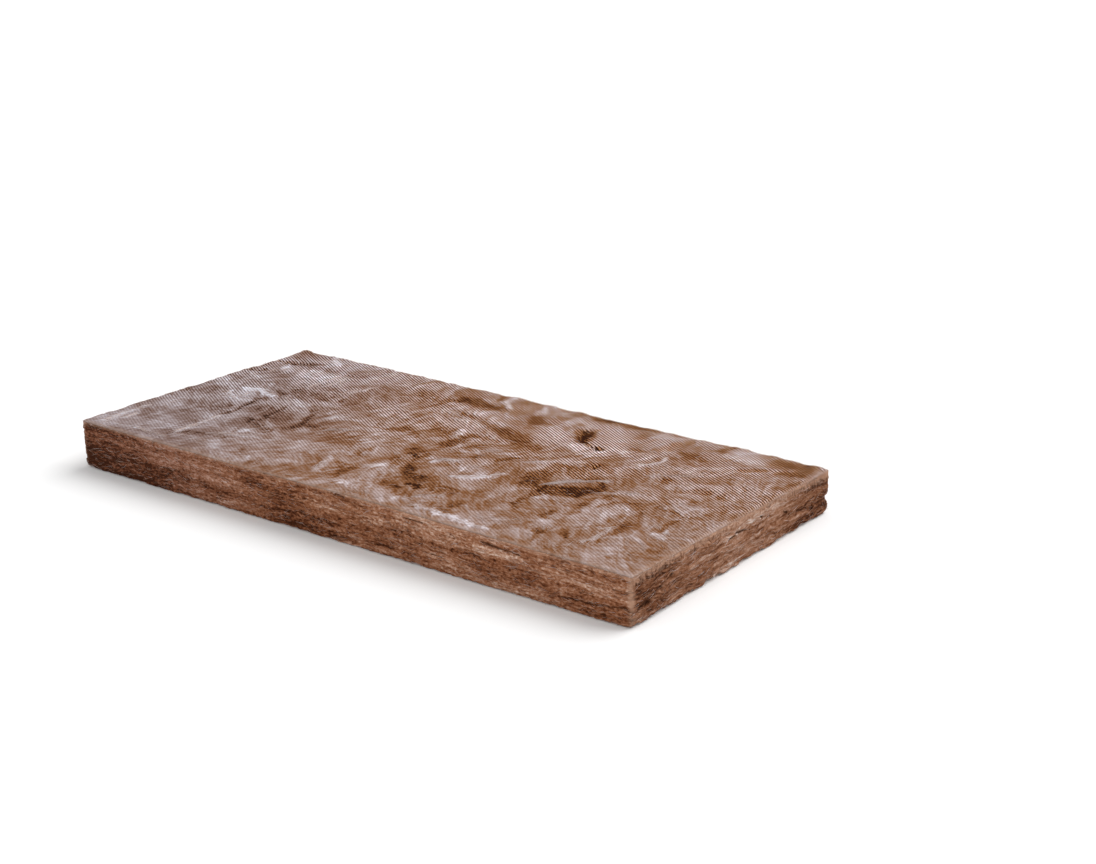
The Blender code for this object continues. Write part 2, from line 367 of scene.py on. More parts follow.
RIGHT_PATCHES = (
    (16, -0.2, (22, 60), (75, 58)), (8, 0.45, (12, 8), (26, 10)), (6, -0.25, (30, 20), (95, 24)),
    (9, -0.25, (170, 66), (215, 62), (255, 56)), (14, 0.2, (255, 48), (340, 54)),
    (3, 0.3, (285, 30), (325, 32), (370, 37)), (10, 0.25, (345, 74), (358, 68)),
    (12, 0.22, (365, 72), (415, 70)), (14, 0.28, (420, 72), (460, 68)), (8, -0.2, (465, 74), (520, 66)),
    (10, -0.14, (530, 70), (585, 66)), (7, -0.26, (460, 10), (510, 9)), (8, 0.26, (205, 10), (290, 8)),
    (10, 0.12, (110, 14), (170, 16)),
)

# Loose fibres: how many sides each has, how many are strewn over the top, how many lie on the cut
# faces and stick out of the arrises, and the seeds of their places
STRAND_SIDES = 3
STREWN_COUNT = 1500
CUT_FIBRE_COUNT = 4200
FRINGE_COUNT = 1500
TOP_SEED = 21
CUT_SEED = 22

# The far right upright arris has a bite out of it, this far up and this deep
BITE_HEIGHT = 0.028
BITE_HALF_HEIGHT = 0.009
BITE_DEPTH = 0.0042
BITE_REACH = 0.030


def smooth_step(low, high, value):
    """0 at low, 1 at high, and smooth between, on an array."""
    share = np.clip((value - low) / (high - low), 0.0, 1.0)
    return share * share * (3.0 - 2.0 * share)


def field(points, size, seed, octaves=3):
    """Smooth noise, roughly between -1 and 1, with features of a given size in metres."""
    scale = np.ones(3) / np.asarray(size)
    shift = np.array((seed * 17.3, seed * 5.1, seed * 9.7))
    return np.array([noise.fractal(place, 0.9, 2.0, octaves) for place in points * scale + shift])


def turned(points, degrees):
    """The points, seen from axes turned by an angle in the plane."""
    cosine, sine = math.cos(math.radians(degrees)), math.sin(math.radians(degrees))
    x, y, z = points.T
    return np.stack([x * cosine + y * sine, y * cosine - x * sine, z], 1)


def line_distance(places, line):
    """How far each place in a plane is from a line of straight stretches."""
    nearest = np.full(len(places), np.inf)
    for start, end in zip(line, line[1:]):
        run = np.subtract(end, start)
        away = places - np.asarray(start)
        share = np.clip(away @ run / (run @ run), 0.0, 1.0)
        nearest = np.minimum(nearest, np.linalg.norm(away - share[:, None] * run, axis=1))
    return nearest


def in_metres(marks):
    """A table of marks, with its half widths and its points turned from millimetres into metres."""
    for half_width, strength, *line in marks:
        yield half_width / 1000.0, strength, *((along / 1000.0, across / 1000.0) for along, across in line)


def mark_total(places, marks):
    """The summed strength of a set of marks at each place."""
    total = np.zeros(len(places))
    for half_width, strength, *line in in_metres(marks):
        total += strength * smooth_step(1.25, 0.55, line_distance(places, line) / half_width)
    return total


def surface_of(mesh):
    """A mesh's surface, for finding points on it."""
    return BVHTree.FromPolygons([v.co for v in mesh.vertices], [p.vertices for p in mesh.polygons])


def top_grid():
    """Plain places of the top's grid, row by row from the front, with every other row half a step on."""
    columns = 2 * round(HALF_LENGTH / COLUMN_PITCH)
    rows = 2 * round(HALF_WIDTH / ROW_PITCH)
    grid = np.zeros((rows + 1, columns + 1, 2))
    for row in range(rows + 1):
        half_steps = 2 * (np.arange(columns + 1) - columns // 2) + (row - rows // 2) % 2
        grid[row, :, 0] = (half_steps - 0.5) * COLUMN_PITCH / 2.0
        grid[row, :, 1] = (row - rows // 2) * ROW_PITCH
    grid[:, 0, 0] = -HALF_LENGTH
    grid[:, -1, 0] = HALF_LENGTH
    grid[0, :, 1] = -HALF_WIDTH
    grid[-1, :, 1] = HALF_WIDTH
    return grid


def belt(points):
    """The belt's print at each place: 1 on a nub, -0.5 in a hollow."""
    wave = 2.0 * math.pi / (BELT_PITCH * math.sqrt(3.0) / 2.0)
    total = np.zeros(len(points))
    for turn, share in BELT_WAVES:
        along = (points[:, 0] + COLUMN_PITCH / 4.0) * math.cos(math.radians(turn))
        across = points[:, 1] * math.sin(math.radians(turn))
        total += share * np.cos(wave * (along + across))
    return total


def rim_of(rows, columns):
    """The top grid's rim as (row, column) pairs, anticlockwise from above, from the front left."""
    rim = [(0, column) for column in range(columns)]
    rim += [(row, columns) for row in range(rows)]
    rim += [(rows, column) for column in range(columns, 0, -1)]
    rim += [(row, 0) for row in range(rows, 0, -1)]
    return rim


def arris_nearness(place, top):
    """1 on an arris of the plain block, and 0 away from it."""
    up = min(place.z, top - place.z)
    distances = sorted((HALF_LENGTH - abs(place.x), HALF_WIDTH - abs(place.y), up))
    return 1.0 - float(smooth_step(0.0, ARRIS_ZONE, max(0.0, distances[1])))


def make_slab():
    """The whole slab as one closed mesh on the solid's surface. Returns it with, for each point, its
    place, its place on the plain block, 1 on the belt faces and 0 on the cut ones, its depth below
    the top face, and its nearness to an arris."""
    tree = surface_of(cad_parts["batt"].data)
    grid = top_grid()
    rows, columns = grid.shape[0] - 1, grid.shape[1] - 1

    def height_at(x, y):
        x = max(EDGE_ZONE - HALF_LENGTH, min(HALF_LENGTH - EDGE_ZONE, x))
        y = max(EDGE_ZONE - HALF_WIDTH, min(HALF_WIDTH - EDGE_ZONE, y))
        return tree.ray_cast(Vector((x, y, 2.0 * TALLEST)), Vector((0.0, 0.0, -1.0)))[0].z

    points, plain, on_belt, depths, arrises = [], [], [], [], []

    def add(place, top, kind, snap=True):
        """Adds a point on the surface nearest a place of the plain block, drawn out at an arris."""
        nearness = arris_nearness(place, top)
        near = tree.find_nearest(place)[0] if snap else place
        crispness = UPRIGHT_CRISPNESS if EDGE_ZONE < place.z < top - EDGE_ZONE else ARRIS_CRISPNESS
        points.append(near + (place - near) * nearness * crispness)
        plain.append(place)
        on_belt.append(kind)
        depths.append(top - place.z)
        arrises.append(nearness)
        return len(points) - 1

    for row in range(rows + 1):
        for column in range(columns + 1):
            x, y = grid[row, column]
            top = height_at(x, y)
            near_edge = HALF_LENGTH - abs(x) < EDGE_ZONE or HALF_WIDTH - abs(y) < EDGE_ZONE
            add(Vector((x, y, top)), top, 1.0, near_edge)

    rim = rim_of(rows, columns)
    corners = [(*grid[row, column], height_at(*grid[row, column])) for row, column in rim]
    rings = [[row * (columns + 1) + column for row, column in rim]]
    for step in range(1, CUT_ROWS + 1):
        share = 1.0 - step / CUT_ROWS
        rings.append([add(Vector((x, y, share * top)), top, 0.0) for x, y, top in corners])
    for inset in UNDER_INSETS:
        along, across = 1.0 - inset / HALF_LENGTH, 1.0 - inset / HALF_WIDTH
        rings.append([add(Vector((x * along, y * across, 0.0)), top, 1.0) for x, y, top in corners])

    faces = []
    for row in range(rows):
        shifted_back = (row - rows // 2) % 2 == 1
        for column in range(columns):
            a = row * (columns + 1) + column
            b, c, d = a + 1, a + columns + 2, a + columns + 1
            faces += [(a, b, c), (a, c, d)] if shifted_back else [(a, b, d), (b, c, d)]
    for upper, lower in zip(rings, rings[1:]):
        for here in range(len(rim)):
            beside = (here + 1) % len(rim)
            faces.append((upper[here], lower[here], lower[beside], upper[beside]))
    faces.append(tuple(reversed(rings[-1])))

    mesh = bpy.data.meshes.new("glass_wool_slab")
    mesh.from_pydata(points, [], faces)
    mesh.update()
    return mesh, np.array(points), np.array(plain), np.array(on_belt), np.array(depths), np.array(arrises)


def normals_of(mesh):
    """The mesh's vertex normals as an array."""
    values = np.zeros(len(mesh.vertices) * 3, np.float32)
    mesh.vertices.foreach_get("normal", values)
    return values.reshape(-1, 3).astype(float)


def random_splits(count, length, draw):
    """Splits between the layers, placed at random over a cut face of a given length."""
    splits = []
    for _ in range(count):
        start, height = draw.uniform(0.02, length - 0.10), draw.uniform(0.016, 0.072)
        run, slope = draw.uniform(0.012, 0.075), draw.uniform(-0.12, 0.12)
        bend = draw.uniform(-0.003, 0.003)
        middle = (start + run / 2.0, height + slope * run / 2.0 + bend)
        end = (start + run, height + slope * run)
        half_height, depth = draw.uniform(0.0012, 0.0024), draw.uniform(0.0020, 0.0048)
        splits.append((half_height, depth, (start, height), middle, end))
    return splits


def cut_faces(plain, on_belt):
    """The four cut faces: which points are on each, their places along it and up it, and its splits,
    tones and patches."""
    draw = random.Random(SPLIT_SEED)
    is_cut = on_belt < 0.5
    x, y, z = plain.T
    side = np.stack((x + HALF_LENGTH, z), 1)
    end = np.stack((y + HALF_WIDTH, z), 1)
    at_front, at_back = is_cut & (y <= -HALF_WIDTH), is_cut & (y >= HALF_WIDTH)
    at_right, at_left = is_cut & (x >= HALF_LENGTH), is_cut & (x <= -HALF_LENGTH)
    back_splits = random_splits(BACK_SPLIT_COUNT, 2.0 * HALF_LENGTH, draw)
    left_splits = random_splits(LEFT_SPLIT_COUNT, 2.0 * HALF_WIDTH, draw)
    return (
        (at_front, side, FRONT_SPLITS, FRONT_TONES, FRONT_PATCHES),
        (at_right, end, RIGHT_SPLITS, RIGHT_TONES, RIGHT_PATCHES),
        (at_back, side, back_splits, REST_TONES, FRONT_PATCHES),
        (at_left, end, left_splits, REST_TONES, RIGHT_PATCHES),
    )


def shape_relief(mesh, points, plain, on_belt, depths, arrises):
    """Moves the slab's points for the nubs, the marks, the layers, the splits and the torn edges.
    Returns, for each point, its tone, how torn it is and how grey."""
    normals = normals_of(mesh)
    edge = np.minimum(HALF_LENGTH - np.abs(plain[:, 0]), HALF_WIDTH - np.abs(plain[:, 1]))
    on_top = on_belt * smooth_step(0.04, 0.03, depths)
    on_cut = 1.0 - on_belt
    at_end = (np.abs(plain[:, 0]) >= HALF_LENGTH).astype(float)

    # The top face
    wander = np.stack([WANDER * field(points, 0.055, seed) + SMALL_WANDER * field(points, 0.014, seed + 1)
                       for seed in (31, 33)], 1)
    combed = COMBED_REACH * field(turned(points, COMBED_WAY), (0.050, 0.0065, 0.05), 35)
    wander += combed[:, None] * (math.cos(math.radians(COMBED_WAY)), math.sin(math.radians(COMBED_WAY)))
    seen = plain[:, :2] + (HALF_LENGTH, HALF_WIDTH)
    brown = mark_total(seen + wander, BROWN_MARKS) * on_top
    pale = mark_total(seen + wander * 0.6, PALE_MARKS) * on_top
    torn = mark_total(seen + wander * 0.15, TORN_MARKS) * on_top
    printed = np.clip(0.80 + 0.5 * field(points, 0.05, 1), 0.25, 1.2)
    printed *= smooth_step(0.003, 0.010, edge) * (1.0 - 0.6 * np.clip(pale, 0.0, 1.0))
    nubs = NUB_HEIGHT * belt(points) * printed
    lumps = LUMP_HEIGHT * field(points, (0.075, 0.055, 0.075), 2)
    seams = np.zeros(len(points))
    for place, depth in SEAMS:
        seams += depth * smooth_step(0.006, 0.0, np.abs(seen[:, 0] - place))
    rolls = ROLL_HEIGHT * np.clip(field(points, (0.038, 0.038, 0.10), 13) + 0.1, -0.4, 1.0)
    rolls *= smooth_step(ROLL_ZONE, 0.004, edge) * np.where(plain[:, 1] < EDGE_ZONE - HALF_WIDTH, 0.25, 1.0)
    rise = on_top * (nubs + lumps + rolls - SEAM_DEPTH * seams)
    rise += MARK_RELIEF * (np.clip(pale, 0.0, 1.2) - np.clip(brown, 0.0, 1.2)) - TORN_DEPTH * torn

    # The cut faces
    layers = LAYER_HEIGHT * field(points, (0.10, 0.10, 0.0075), 3)
    layers += THIN_LAYER_HEIGHT * field(points, (0.03, 0.03, 0.005), 4)
    crevices = np.clip(1.0 - np.abs(field(points, (0.06, 0.06, 0.010), 5, 2)) / 0.10, 0.0, 1.0)
    crevice_depth = CREVICE_DEPTH + (END_CREVICE_DEPTH - CREVICE_DEPTH) * at_end
    curls = CURL_HEIGHT * field(points, (0.007, 0.007, 0.016), 6)
    curls *= smooth_step(CURL_ZONE, 0.004, depths) * at_end
    bulge = END_BULGE * field(points, (0.05, 0.05, 0.03), 7) * at_end
    relief = layers * (1.0 + 0.7 * at_end) - crevices * crevice_depth + curls + bulge
    rise += on_cut * (1.0 - 0.75 * arrises) * relief
    tone = pale - brown
    for on_face, places, splits, tones, patches in cut_faces(plain, on_belt):
        wavy = places + np.stack([0.012 * field(points, 0.030, 12), 0.0016 * field(points, 0.012, 8)], 1)
        for half_height, depth, *line in splits:
            opened = smooth_step(1.6, 0.2, line_distance(wavy, line) / half_height) * on_face
            rise -= depth * opened
            torn = np.maximum(torn, opened)
        positions, values = zip(*tones)
        tone += (np.interp(places[:, 0], positions, values) + mark_total(wavy, patches)) * on_face

    # The arrises: frayed, and torn along the floor
    rise += FRAY_HEIGHT * field(points, 0.007, 9) * arrises
    moved = points + normals * rise[:, None]
    near_floor = smooth_step(LIFT_ZONE, 0.0, plain[:, 2]) * smooth_step(UNDER_INSETS[-1], 0.0, edge)
    beside_end = smooth_step(0.03, 0.0, HALF_LENGTH - np.abs(plain[:, 0]))
    floor_places = plain * (1.0, 1.0, 0.0)
    torn_edge = 0.35 + field(floor_places, 0.042, 10) + 0.5 * field(floor_places, 0.012, 11)
    torn_edge = np.clip(torn_edge, 0.0, 1.4)
    moved[:, 2] += near_floor * torn_edge * (SIDE_LIFT + (END_LIFT - SIDE_LIFT) * beside_end)

    # The bite out of the far right arris
    corner = np.array((HALF_LENGTH, HALF_WIDTH))
    from_corner = np.linalg.norm(plain[:, :2] - corner, axis=1)
    bite = smooth_step(BITE_REACH, 0.0, from_corner)
    bite *= smooth_step(1.0, 0.3, np.abs(plain[:, 2] - BITE_HEIGHT) / BITE_HALF_HEIGHT)
    moved[:, :2] -= bite[:, None] * BITE_DEPTH / math.sqrt(2.0)

    moved[:, 2] = np.maximum(moved[:, 2], 0.0)
    mesh.vertices.foreach_set("co", moved.astype(np.float32).ravel())
    mesh.update()
    reach = np.linalg.norm((seen - GREY_CENTRE) / GREY_REACH, axis=1)
    return tone, torn, smooth_step(1.0, 0.15, reach)


def store(mesh, name, values):
    """Keeps one number a point in the mesh, for the material to read."""
    layer = mesh.attributes.new(name, "FLOAT", "POINT")
    layer.data.foreach_set("value", np.asarray(values, np.float32))


def placed(name, data):
    """A new object in the scene."""
    made = bpy.data.objects.new(name, data)
    bpy.context.scene.collection.objects.link(made)
    return made


class Pattern:
    """Builds a material's nodes. Each call adds a node and returns its output."""

    def __init__(self, name):
        self.material = bpy.data.materials.new(name)
        self.material.use_nodes = True
        self.tree = self.material.node_tree
        self.shader = self.tree.nodes["Principled BSDF"]

    def node(self, kind, inputs=(), **settings):
        made = self.tree.nodes.new(kind)
        for name, value in settings.items():
            setattr(made, name, value)
        for name, value in dict(inputs).items():
            self.feed(made.inputs[name], value)
        return made

    def feed(self, socket, value):
        if isinstance(value, bpy.types.NodeSocket):
            self.tree.links.new(value, socket)
        else:
            socket.default_value = value

    def place(self):
        return self.node("ShaderNodeTexCoord").outputs["Object"]

    def stored(self, name):
        return self.node("ShaderNodeAttribute", attribute_name=name).outputs["Fac"]

    def math(self, operation, *values):
        return self.node("ShaderNodeMath", enumerate(values), operation=operation).outputs[0]

    def add(self, *values):
        total = values[0]
        for value in values[1:]:
            total = self.math("ADD", total, value)
        return total

    def times(self, *values):
        total = values[0]
        for value in values[1:]:
            total = self.math("MULTIPLY", total, value)
        return total

    def less(self, first, second):
        return self.math("SUBTRACT", first, second)

    def centred(self, value, strength):
        """A value around 0.5, moved to around 0 and scaled."""
        return self.times(self.less(value, 0.5), strength)

    def between(self, share, first, second):
        """A number between two, by a share."""
        return self.add(first, self.times(share, self.less(second, first)))

    def vector(self, operation, first, second):
        made = self.node("ShaderNodeVectorMath", {0: first, 1: second}, operation=operation)
        return made.outputs["Value" if operation == "DOT_PRODUCT" else "Vector"]

    def stretched(self, place, x, y, z):
        return self.vector("MULTIPLY", place, (x, y, z))

    def part(self, vector, axis):
        return self.node("ShaderNodeSeparateXYZ", {0: vector}).outputs[axis]

    def edge_distances(self, place):
        """How far a place is from the nearer end, and from the nearer long side."""
        x, y = (self.math("ABSOLUTE", self.part(place, axis)) for axis in (0, 1))
        return self.less(HALF_LENGTH, x), self.less(HALF_WIDTH, y)

    def join(self, x, y, z):
        return self.node("ShaderNodeCombineXYZ", {0: x, 1: y, 2: z}).outputs[0]

    def step(self, value, low, high, start=0.0, end=1.0):
        """Start below low, end above high, and smooth between."""
        sockets = {"Value": value, "From Min": low, "From Max": high, "To Min": start, "To Max": end}
        return self.node("ShaderNodeMapRange", sockets, interpolation_type="SMOOTHSTEP").outputs[0]

    def noise(self, place, scale, detail=3.0, roughness=0.55, distortion=0.0):
        sockets = {"Vector": place, "Scale": scale, "Detail": detail, "Roughness": roughness,
                   "Distortion": distortion}
        return self.node("ShaderNodeTexNoise", sockets)

    def grain(self, *values, **more):
        return self.noise(*values, **more).outputs["Fac"]

    def layered(self, place, scales, detail=1.0, **more):
        """Noise with its own scale along each axis."""
        return self.grain(self.stretched(place, *scales), 1.0, detail=detail, **more)

    def lines(self, value, width):
        """1 where noise passes 0.5, and 0 a little away from there."""
        return self.step(self.math("ABSOLUTE", self.less(value, 0.5)), 0.0, width, 1.0, 0.0)

    def tinted(self, share, colour, tint):
        """A colour, multiplied by a tint by a share."""
        return self.blend(share, colour, self.vector("MULTIPLY", colour, tint))

    def warped(self, place, scale, reach, detail=2.0):
        """The place, moved about by soft noise of a given scale, up to a given reach in metres."""
        wander = self.noise(place, scale, detail).outputs["Color"]
        centred = self.vector("SUBTRACT", wander, (0.5, 0.5, 0.5))
        return self.vector("ADD", place, self.stretched(centred, 2.0 * reach, 2.0 * reach, 2.0 * reach))

    def streaks(self, place, turn, along, across, **more):
        """Noise drawn out in one direction in the plane, with its two scales."""
        cosine, sine = math.cos(math.radians(turn)), math.sin(math.radians(turn))
        run = self.vector("DOT_PRODUCT", place, (cosine * along, sine * along, 0.0))
        cross = self.vector("DOT_PRODUCT", place, (-sine * across, cosine * across, 0.0))
        return self.grain(self.join(run, cross, turn), 1.0, **more)

    def ramp(self, value, *stops):
        made = self.node("ShaderNodeValToRGB", {"Fac": value})
        elements = made.color_ramp.elements
        for _ in stops[len(elements):]:
            elements.new(0.5)
        for element, (position, colour) in zip(elements, stops):
            element.position = position
            element.color = (*colour, 1.0)
        return made.outputs["Color"]

    def blend(self, share, first, second):
        made = self.node("ShaderNodeMix", data_type="RGBA")
        self.feed(made.inputs["Factor"], share)
        self.feed(made.inputs[6], first)
        self.feed(made.inputs[7], second)
        return made.outputs[2]

    def finish(self, roughness, shine):
        """Sets how rough the surface is, and how much it shines."""
        self.shader.inputs["Roughness"].default_value = roughness
        self.shader.inputs["Specular IOR Level"].default_value = shine

    def height(self, value):
        """Tilts the surface by a height in metres."""
        bump = self.node("ShaderNodeBump", {"Height": value, "Distance": 1.0, "Strength": 1.0})
        self.feed(self.shader.inputs["Normal"], bump.outputs["Normal"])


def belt_waves(pattern, place):
    """The belt's print, from about -0.5 in a hollow to 1 on a nub, in step with the mesh."""
    wave = 2.0 * math.pi / (BELT_PITCH * math.sqrt(3.0) / 2.0)
    start = pattern.vector("ADD", place, (COLUMN_PITCH / 4.0, 0.0, 0.0))
    total = 0.0
    for turn, share in BELT_WAVES:
        run = (wave * math.cos(math.radians(turn)), wave * math.sin(math.radians(turn)), 0.0)
        rise = pattern.times(pattern.math("COSINE", pattern.vector("DOT_PRODUCT", start, run)), share)
        total = pattern.add(total, rise)
    return total


def belt_face(pattern, place):
    """Colour and height of the marbled, belt-marked faces."""
    mark = pattern.stored("tone")
    swirl = pattern.warped(place, 5.0, 0.055)
    curl = pattern.warped(swirl, 21.0, 0.011)
    one_way = pattern.streaks(curl, 62.0, 12.0, 84.0, detail=2.5, roughness=0.60)
    other_way = pattern.streaks(curl, 128.0, 14.0, 94.0, detail=2.5, roughness=0.60)
    choice = pattern.step(pattern.grain(swirl, 5.5, detail=1.0), 0.44, 0.56)
    streak = pattern.between(choice, one_way, other_way)
    patch = pattern.step(pattern.grain(curl, 15.0, detail=3.0, roughness=0.5), 0.40, 0.60)
    fine = pattern.grain(curl, 150.0, detail=1.5, roughness=0.6)
    fine = pattern.between(pattern.step(pattern.part(place, 1), -0.10, 0.25), fine, 0.5)
    thread_field = pattern.streaks(curl, 75.0, 11.0, 30.0, detail=1.0, roughness=0.4)
    threaded = pattern.step(pattern.grain(swirl, 12.0, detail=1.0), 0.48, 0.60)
    thread = pattern.times(pattern.lines(thread_field, 0.022), threaded)

    seam_place = pattern.part(pattern.warped(place, 30.0, 0.0012), 0)
    seam = 0.0
    for where, strength in SEAMS:
        away = pattern.math("ABSOLUTE", pattern.less(seam_place, where - HALF_LENGTH))
        seam = pattern.add(seam, pattern.step(away, 0.0, 0.0026, strength, 0.0))
    seam = pattern.times(seam, pattern.step(pattern.grain(swirl, 10.0, detail=1.0), 0.42, 0.56))

    lengthwise = pattern.streaks(curl, 4.0, 26.0, 90.0, detail=2.0, roughness=0.62)
    pale = pattern.math("MAXIMUM", mark, 0.0)
    brown = pattern.math("MINIMUM", mark, 0.0)
    faint = pattern.add(0.13, pattern.times(pale, 0.20))
    pale = pattern.times(pale, faint, pattern.step(streak, 0.3, 0.6, 0.5, 1.3))
    brown = pattern.times(brown, 0.43, pattern.step(fine, 0.35, 0.62, 1.25, 0.72))
    feathered = pattern.add(pale, brown)
    edge = pattern.math("MINIMUM", *pattern.edge_distances(place))
    edge = pattern.add(edge, pattern.centred(pattern.grain(place, 70.0, detail=2.0), 0.010))
    strength = pattern.times(
        pattern.step(pattern.grain(swirl, 14.0, detail=2.0), 0.34, 0.56, 0.55, 1.0),
        pattern.step(mark, 0.55, 1.0, 1.0, 0.35),
        pattern.step(pattern.part(place, 1), -HALF_WIDTH, HALF_WIDTH, 0.30, 1.88),
        pattern.step(pattern.part(place, 0), -HALF_LENGTH, HALF_LENGTH, 0.92, 1.10),
        pattern.step(mark, -1.2, 0.0, 1.8, 1.0),
        pattern.less(1.0, pattern.times(thread, 0.6)),
        pattern.step(edge, 0.000, 0.010, 0.15, 1.0),
    )
    ribs = pattern.times(belt_waves(pattern, pattern.warped(place, 40.0, 0.0004)), strength)
    tone = pattern.add(
        0.50,
        pattern.centred(streak, 0.72),
        pattern.centred(patch, 0.20),
        pattern.centred(lengthwise, 0.60),
        pattern.centred(fine, 0.26),
        pattern.times(thread, 0.14),
        pattern.times(seam, -0.14),
        feathered,
        # The ribs lighten the tone on their crests: partly print, partly painted light
        pattern.times(ribs, 0.10),
    )
    warm, grey = pattern.ramp(tone, *WARM_BROWNS), pattern.ramp(tone, *GREY_BROWNS)
    colour = pattern.blend(pattern.stored("grey"), warm, grey)
    colour = pattern.blend(pattern.step(edge, 0.001, 0.011, 0.42, 0.0), colour, WORN_COLOUR)
    # The ribs' colour swing: partly the print's own colour, partly painted light and painted shade
    print_and_shade_swing = pattern.vector("MULTIPLY", pattern.join(ribs, ribs, ribs), RIB_PRINT_AND_SHADE_SWING)
    print_and_shade_swing = pattern.vector("MAXIMUM", pattern.vector("ADD", print_and_shade_swing, RIB_PRINT_AND_SHADE_MIDDLE), RIB_PRINT_AND_SHADE_DARKEST)
    colour = pattern.vector("MULTIPLY", colour, print_and_shade_swing)
    height = pattern.add(
        pattern.times(streak, 0.0014),
        pattern.times(thread, 0.0004),
        pattern.times(seam, -0.0005),
        pattern.times(feathered, 0.0012),
    )
    return colour, height


def cut_face(pattern, place):
    """Colour and height of the sawn and chopped faces, where the layers of the wool show."""
    along = pattern.math("ABSOLUTE", pattern.part(place, 0))
    at_end = pattern.step(along, HALF_LENGTH - 0.014, HALF_LENGTH - 0.004)
    depth = pattern.stored("depth")
    wave = pattern.centred(pattern.layered(place, (7.0, 7.0, 14.0), 2.0), 0.020)
    short_wave = pattern.centred(pattern.layered(place, (26.0, 26.0, 22.0)), 0.016)
    wave = pattern.add(wave, pattern.times(short_wave, at_end))
    sway = pattern.vector("ADD", place, pattern.join(0.0, 0.0, wave))
    sway = pattern.warped(sway, 90.0, 0.0012)
    bands = pattern.layered(sway, (3.0, 3.0, 40.0), 3.0)
    layers = pattern.layered(sway, (13.0, 13.0, 150.0), 2.0, roughness=0.6, distortion=0.5)
    fibres = pattern.layered(sway, (52.0, 52.0, 310.0), roughness=0.6)
    fuzz = pattern.layered(sway, (170.0, 170.0, 290.0), 1.5, roughness=0.65)
    curls = pattern.layered(sway, (260.0, 260.0, 70.0), 2.0, distortion=0.8)
    curled = pattern.times(pattern.step(depth, 0.022, 0.006), at_end)
    crack_field = pattern.layered(sway, (30.0, 30.0, 150.0), 2.0, roughness=0.4)
    crack = pattern.lines(crack_field, 0.016)
    open_here = pattern.layered(sway, (13.0, 13.0, 60.0))
    crack = pattern.times(crack, pattern.step(open_here, pattern.between(at_end, 0.54, 0.48), 0.64))
    cells = pattern.node("ShaderNodeTexVoronoi", {"Vector": pattern.stretched(sway, 210.0, 210.0, 330.0),
                                                  "Scale": 1.0})
    chosen = pattern.step(pattern.part(cells.outputs["Color"], 0), 0.78, 0.82)
    speck = pattern.times(pattern.step(cells.outputs["Distance"], 0.06, 0.26, 1.0, 0.0), chosen)
    tone = pattern.add(
        0.50,
        pattern.times(pattern.centred(bands, 1.02), pattern.between(at_end, 1.0, 0.56)),
        pattern.step(depth, 0.015, 0.060, 0.03, -0.09),
        pattern.times(pattern.centred(layers, 0.54), pattern.between(at_end, 1.0, 1.84)),
        pattern.centred(fibres, 0.85),
        pattern.times(pattern.centred(fuzz, 1.25), pattern.between(at_end, 1.0, 0.50)),
        pattern.times(pattern.math("MAXIMUM", pattern.centred(curls, 1.30), -0.12), curled),
        # Painted shade in the cracks between the layers
        pattern.times(crack, -0.32),
        pattern.times(speck, 0.34),
        pattern.times(pattern.stored("tone"), pattern.between(at_end, 0.80, 0.62)),
    )
    colour = pattern.ramp(tone, *CUT_BROWNS)
    colour = pattern.tinted(at_end, colour, END_TINT)
    colour = pattern.tinted(pattern.stored("grey"), colour, GREY_TINT)
    ragged = pattern.add(depth, pattern.centred(pattern.grain(place, 90.0), 0.008))
    ragged = pattern.add(ragged, pattern.times(pattern.centred(curls, -0.040), at_end))
    lip_reach, lip_share = pattern.between(at_end, 0.0095, 0.0215), pattern.between(at_end, 0.35, 0.66)
    lip = pattern.step(ragged, 0.0010, lip_reach, lip_share, 0.0)
    from_upright = pattern.math("MAXIMUM", *pattern.edge_distances(place))
    from_upright = pattern.add(from_upright, pattern.centred(pattern.grain(place, 60.0), 0.014))
    upright = pattern.step(from_upright, 0.000, 0.013, 0.66, 0.0)
    patchy = pattern.step(pattern.grain(place, 55.0, detail=2.0), 0.36, 0.60, 0.25, 1.0)
    lip = pattern.math("MAXIMUM", lip, pattern.times(upright, patchy))
    colour = pattern.blend(lip, colour, LIP_COLOUR)
    height = pattern.add(
        pattern.times(layers, 0.0040),
        pattern.times(fibres, 0.0016),
        pattern.times(fuzz, 0.0016),
        pattern.times(curls, curled, 0.0030),
        pattern.times(crack, -0.0014),
        pattern.times(speck, 0.0007),
    )
    return colour, height


def wool_material():
    """Glass wool: matte, marbled on its belt faces and layered on its cut ones."""
    pattern = Pattern("glass_wool")
    place = pattern.place()
    belt_colour, belt_height = belt_face(pattern, place)
    cut_colour, cut_height = cut_face(pattern, place)
    share = pattern.step(pattern.stored("on_belt"), 0.3, 0.7)
    colour = pattern.blend(share, cut_colour, belt_colour)
    rough = pattern.centred(pattern.grain(place, 240.0, detail=2.0), pattern.between(share, 1.0, 0.5))
    torn = pattern.add(pattern.stored("torn"), rough)
    # Painted shade: splits and torn spots darken to near black inside
    opened = pattern.step(torn, 0.42, 0.80, 0.0, pattern.between(share, 0.80, 0.95))
    colour = pattern.blend(opened, colour, SPLIT_SHADE_COLOUR)
    pattern.feed(pattern.shader.inputs["Base Color"], colour)
    pattern.height(pattern.between(share, cut_height, belt_height))
    pattern.finish(*WOOL_FINISH)
    return pattern.material


def fibre_material():
    """Loose glass fibres: paler than the wool, with a faint gloss."""
    pattern = Pattern("glass_fibres")
    place = pattern.place()
    tone = pattern.add(pattern.stored("tone"), pattern.centred(pattern.grain(place, 400.0), 0.5))
    pattern.feed(pattern.shader.inputs["Base Color"], pattern.ramp(tone, *FIBRE_BROWNS))
    pattern.height(pattern.times(pattern.grain(place, 900.0), 0.0002))
    pattern.finish(*FIBRE_FINISH)
    return pattern.material


